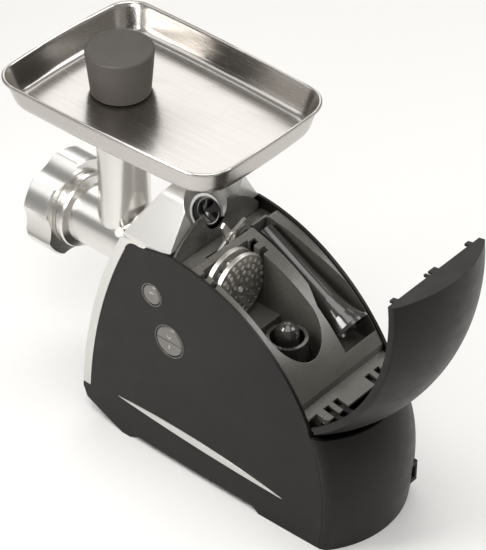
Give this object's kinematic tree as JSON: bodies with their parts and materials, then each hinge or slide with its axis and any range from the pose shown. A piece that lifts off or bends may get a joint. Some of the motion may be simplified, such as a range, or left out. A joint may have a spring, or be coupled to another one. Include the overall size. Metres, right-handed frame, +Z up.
{
  "type": "meat grinder",
  "caption": "Electric meat grinder: geared motor housing, screw barrel with feed tube and ring nut, tray, pusher and a lidded store for its cutting and stuffing parts.",
  "frame": {"origin": "on the table under the middle of the whole machine, lid open", "axes": "+Z up, -Y towards the grinding head, +X towards the side with the buttons"},
  "size_m": [0.172, 0.4433, 0.36],
  "materials": {
    "anthracite_shell": "fine moulded satin",
    "dark_inner_plastic": "polished moulded",
    "silver_housing": "silver lacquer",
    "button_plastic": "metallic grey lacquer",
    "smoked_button": "polished",
    "pusher_plastic": "fine eroded",
    "cast_aluminium": "polished casting",
    "stainless_sheet": "brushed",
    "tool_steel": "ground",
    "bright_steel": "polished",
    "rubber": "matt",
    "former_plastic": "polished moulded",
    "gear_nylon": "moulded",
    "gear_steel": "sintered",
    "zinc_steel": "zinc plated",
    "lamination_steel": "stacked sheet",
    "copper_coil": "enamelled",
    "carbon": "pressed",
    "brass": "drawn",
    "board": "resin board",
    "bronze_bush": "sintered"
  },
  "bodies": {
    "root": {"right_side_panel": "anthracite_shell", "left_side_panel": "anthracite_shell", "rear_cover": "anthracite_shell", "front_fascia": "anthracite_shell", "front_housing": "silver_housing", "rear_bulkhead": "dark_inner_plastic", "storage_deck": "dark_inner_plastic", "base_plate": "dark_inner_plastic", "rubber_feet": "rubber", "side_trims": "silver_housing", "cord_gland": "rubber", "lid_hinge_pin": "bright_steel", "release_spring": "bright_steel", "latch_bracket": "dark_inner_plastic", "circuit_board": "board", "micro_switches": "brass", "gear_case": "gear_nylon", "gear_cover": "gear_nylon", "idler_pins": "gear_steel", "bearings": "bronze_bush", "motor_stator": "lamination_steel", "field_coils": "copper_coil", "motor_front_bracket": "zinc_steel", "motor_rear_bracket": "zinc_steel", "motor_bolts": "zinc_steel", "carbon_brushes": "carbon", "brush_holders": "dark_inner_plastic", "base_screws": "zinc_steel"},
    "lid": {"lid": "anthracite_shell"},
    "power_button": {"power_button": "button_plastic"},
    "reverse_button": {"reverse_button": "button_plastic"},
    "release_button": {"release_button": "smoked_button"},
    "rotor": {"rotor_shaft": "gear_steel", "rotor_core": "lamination_steel", "commutator": "copper_coil", "cooling_fan": "gear_nylon"},
    "first_idler": {"first_idler_gear": "gear_nylon"},
    "second_idler": {"second_idler_gear": "gear_steel"},
    "output": {"output_gear": "gear_steel", "output_shaft": "gear_steel"},
    "head": {"grinder_head": "cast_aluminium", "lock_stud": "bright_steel"},
    "feed_screw": {"feed_screw": "tool_steel"},
    "ring_nut": {"ring_nut": "cast_aluminium"},
    "tray": {"tray": "stainless_sheet"},
    "pusher": {"pusher": "pusher_plastic"},
    "knife": {"knife": "tool_steel"},
    "coarse_plate": {"coarse_plate": "tool_steel"},
    "fine_plate": {"fine_plate": "tool_steel"},
    "kebbe_set": {"kebbe_former": "former_plastic", "kebbe_core": "former_plastic"},
    "sausage_funnel": {"sausage_funnel": "former_plastic"}
  },
  "joints": [
    {"name": "lid_hinge", "type": "hinge", "parent": "root", "child": "lid", "pos_m": [0, 0.1254, 0.124], "axis": [1, 0, 0], "range_deg": [0, 79]},
    {"name": "power_press", "type": "slide", "parent": "root", "child": "power_button", "axis": [-1, 0, 0], "range_m": [0, 0.0012], "stiffness_N_per_m": 400, "springref_m": -0.002},
    {"name": "reverse_press", "type": "slide", "parent": "root", "child": "reverse_button", "axis": [-1, 0, 0], "range_m": [0, 0.0012], "stiffness_N_per_m": 400, "springref_m": -0.002},
    {"name": "release_press", "type": "slide", "parent": "root", "child": "release_button", "axis": [0, -0.8, -0.6], "range_m": [0, 0.004], "stiffness_N_per_m": 400, "springref_m": -0.004, "deforming": ["release_spring"]},
    {"name": "motor_spin", "type": "hinge", "parent": "root", "child": "rotor", "pos_m": [0, 0.0224, 0.06], "axis": [0, 1, 0], "continuous": true},
    {"name": "first_idler_spin", "type": "hinge", "parent": "root", "child": "first_idler", "pos_m": [0, -0.0476, 0.096], "axis": [0, 1, 0], "continuous": true},
    {"name": "second_idler_spin", "type": "hinge", "parent": "root", "child": "second_idler", "pos_m": [0, -0.0576, 0.1305], "axis": [0, 1, 0], "continuous": true},
    {"name": "output_spin", "type": "hinge", "parent": "root", "child": "output", "pos_m": [0, -0.0706, 0.168], "axis": [0, 1, 0], "continuous": true},
    {"name": "head_turn", "type": "hinge", "parent": "root", "child": "head", "pos_m": [0, -0.1076, 0.168], "axis": [0, 1, 0], "range_deg": [0, 40]},
    {"name": "screw_spin", "type": "hinge", "parent": "root", "child": "feed_screw", "pos_m": [0, -0.1376, 0.168], "axis": [0, 1, 0], "continuous": true},
    {"name": "nut_turn", "type": "hinge", "parent": "head", "child": "ring_nut", "pos_m": [0, -0.2076, 0.168], "axis": [0, 1, 0], "continuous": true},
    {"name": "tray_lift", "type": "slide", "parent": "head", "child": "tray", "axis": [0, 0, -1], "range_m": [-0.06, 0]},
    {"name": "pusher_lift", "type": "slide", "parent": "tray", "child": "pusher", "axis": [0, 0, -1], "range_m": [-0.12, 0]},
    {"name": "knife_lift", "type": "slide", "parent": "root", "child": "knife", "axis": [0, 0, -1], "range_m": [-0.045, 0]},
    {"name": "coarse_plate_lift", "type": "slide", "parent": "root", "child": "coarse_plate", "axis": [0, 0, -1], "range_m": [-0.07, 0]},
    {"name": "fine_plate_lift", "type": "slide", "parent": "root", "child": "fine_plate", "axis": [0, 0, -1], "range_m": [-0.07, 0]},
    {"name": "kebbe_lift", "type": "slide", "parent": "root", "child": "kebbe_set", "axis": [0, 0, -1], "range_m": [-0.09, 0]},
    {"name": "funnel_lift", "type": "slide", "parent": "root", "child": "sausage_funnel", "axis": [0, 0, -1], "range_m": [-0.07, 0]}
  ],
  "couplings": [
    {"joint": "first_idler_spin", "follows": "motor_spin", "ratio": -0.2},
    {"joint": "second_idler_spin", "follows": "motor_spin", "ratio": 0.046429},
    {"joint": "output_spin", "follows": "motor_spin", "ratio": -0.012842},
    {"joint": "screw_spin", "follows": "motor_spin", "ratio": -0.012842}
  ]
}
